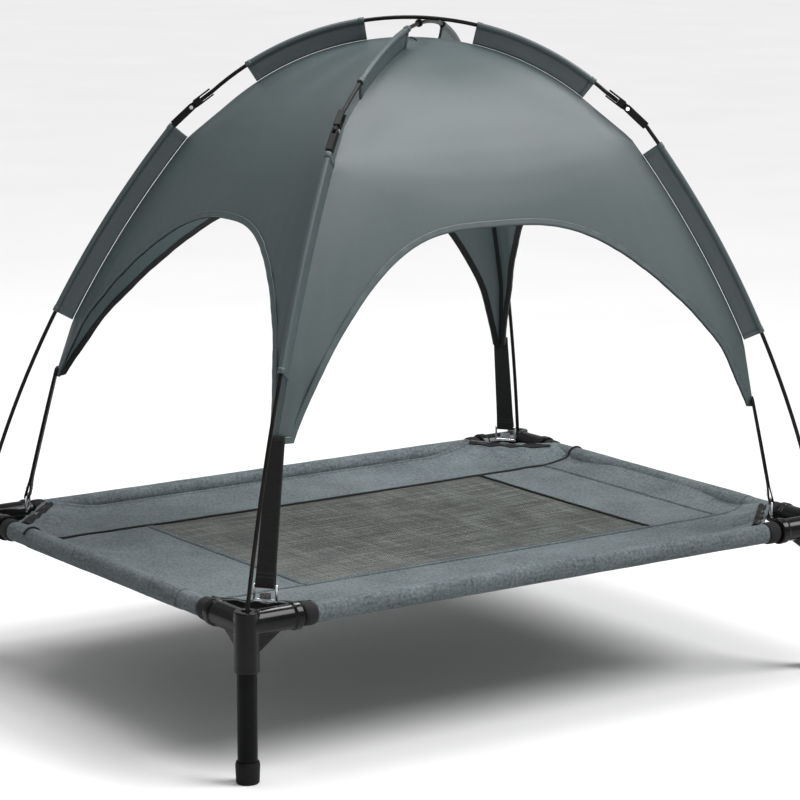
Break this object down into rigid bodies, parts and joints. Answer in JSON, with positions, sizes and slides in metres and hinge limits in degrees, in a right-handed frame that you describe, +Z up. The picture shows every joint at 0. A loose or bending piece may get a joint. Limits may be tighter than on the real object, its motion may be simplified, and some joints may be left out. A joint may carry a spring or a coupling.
{
  "type": "pet cot with canopy",
  "caption": "Raised pet cot: a tubular frame on legs carries a fabric sling with a mesh centre, under a lift-off dome canopy on crossed folding poles.",
  "frame": {"origin": "on the floor under the middle of the cot", "axes": "+X along the long side, +Y along the short side, +Z up; the front corner is -X -Y, right +X -Y, back +X +Y, left -X +Y"},
  "size_m": [0.764, 0.576, 0.7127],
  "materials": {
    "connector_plastic": "moulded satin to gloss black",
    "tube_steel": "black powder coat",
    "foot_rubber": "matt black",
    "sling_fabric": "woven oxford, blue grey",
    "mesh_fabric": "coarse coated mesh, dark grey",
    "edge_tape": "black grosgrain tape",
    "pole_rod": "black satin",
    "elbow_plastic": "black satin",
    "hook_metal": "bright zinc plate",
    "canopy_fabric": "coated polyester, teal grey",
    "strap_webbing": "black webbing"
  },
  "bodies": {
    "cot": {"front_connector": "connector_plastic", "right_connector": "connector_plastic", "back_connector": "connector_plastic", "left_connector": "connector_plastic", "front_leg": "tube_steel", "right_leg": "tube_steel", "back_leg": "tube_steel", "left_leg": "tube_steel", "front_foot": "foot_rubber", "right_foot": "foot_rubber", "back_foot": "foot_rubber", "left_foot": "foot_rubber", "front_rail": "tube_steel", "right_rail": "tube_steel", "back_rail": "tube_steel", "left_rail": "tube_steel", "front_border": "sling_fabric", "back_border": "sling_fabric", "left_end_panel": "sling_fabric", "right_end_panel": "sling_fabric", "mesh_panel": "mesh_fabric", "mesh_piping": "edge_tape", "front_binding": "edge_tape", "right_binding": "edge_tape", "back_binding": "edge_tape", "left_binding": "edge_tape"},
    "canopy": {"front_lower_rod": "pole_rod", "right_lower_rod": "pole_rod", "back_lower_rod": "pole_rod", "left_lower_rod": "pole_rod", "upper_top_rod": "pole_rod", "under_top_rod": "pole_rod", "pole_tie": "edge_tape", "front_elbow_socket": "elbow_plastic", "right_elbow_socket": "elbow_plastic", "back_elbow_socket": "elbow_plastic", "left_elbow_socket": "elbow_plastic", "front_elbow_fork": "elbow_plastic", "right_elbow_fork": "elbow_plastic", "back_elbow_fork": "elbow_plastic", "left_elbow_fork": "elbow_plastic", "elbow_pins": "hook_metal", "front_sleeve": "canopy_fabric", "right_sleeve": "canopy_fabric", "back_sleeve": "canopy_fabric", "left_sleeve": "canopy_fabric", "front_canopy_panel": "canopy_fabric", "right_canopy_panel": "canopy_fabric", "back_canopy_panel": "canopy_fabric", "left_canopy_panel": "canopy_fabric", "front_strap": "strap_webbing", "right_strap": "strap_webbing", "back_strap": "strap_webbing", "left_strap": "strap_webbing"},
    "front_hook": {"front_hook": "hook_metal"},
    "right_hook": {"right_hook": "hook_metal"},
    "back_hook": {"back_hook": "hook_metal"},
    "left_hook": {"left_hook": "hook_metal"}
  },
  "joints": [
    {"name": "canopy_lift", "type": "slide", "parent": "cot", "child": "canopy", "axis": [0, 0, 1], "range_m": [0, 0.06]},
    {"name": "front_hook_swing", "type": "hinge", "parent": "canopy", "child": "front_hook", "pos_m": [-0.32645, -0.24306, 0.186], "axis": [-0.5972, 0.8021, 0], "range_deg": [0, 75]},
    {"name": "right_hook_swing", "type": "hinge", "parent": "canopy", "child": "right_hook", "pos_m": [0.32645, -0.24306, 0.186], "axis": [-0.5972, -0.8021, 0], "range_deg": [0, 75]},
    {"name": "back_hook_swing", "type": "hinge", "parent": "canopy", "child": "back_hook", "pos_m": [0.32645, 0.24306, 0.186], "axis": [0.5972, -0.8021, 0], "range_deg": [0, 75]},
    {"name": "left_hook_swing", "type": "hinge", "parent": "canopy", "child": "left_hook", "pos_m": [-0.32645, 0.24306, 0.186], "axis": [0.5972, 0.8021, 0], "range_deg": [0, 75]}
  ]
}
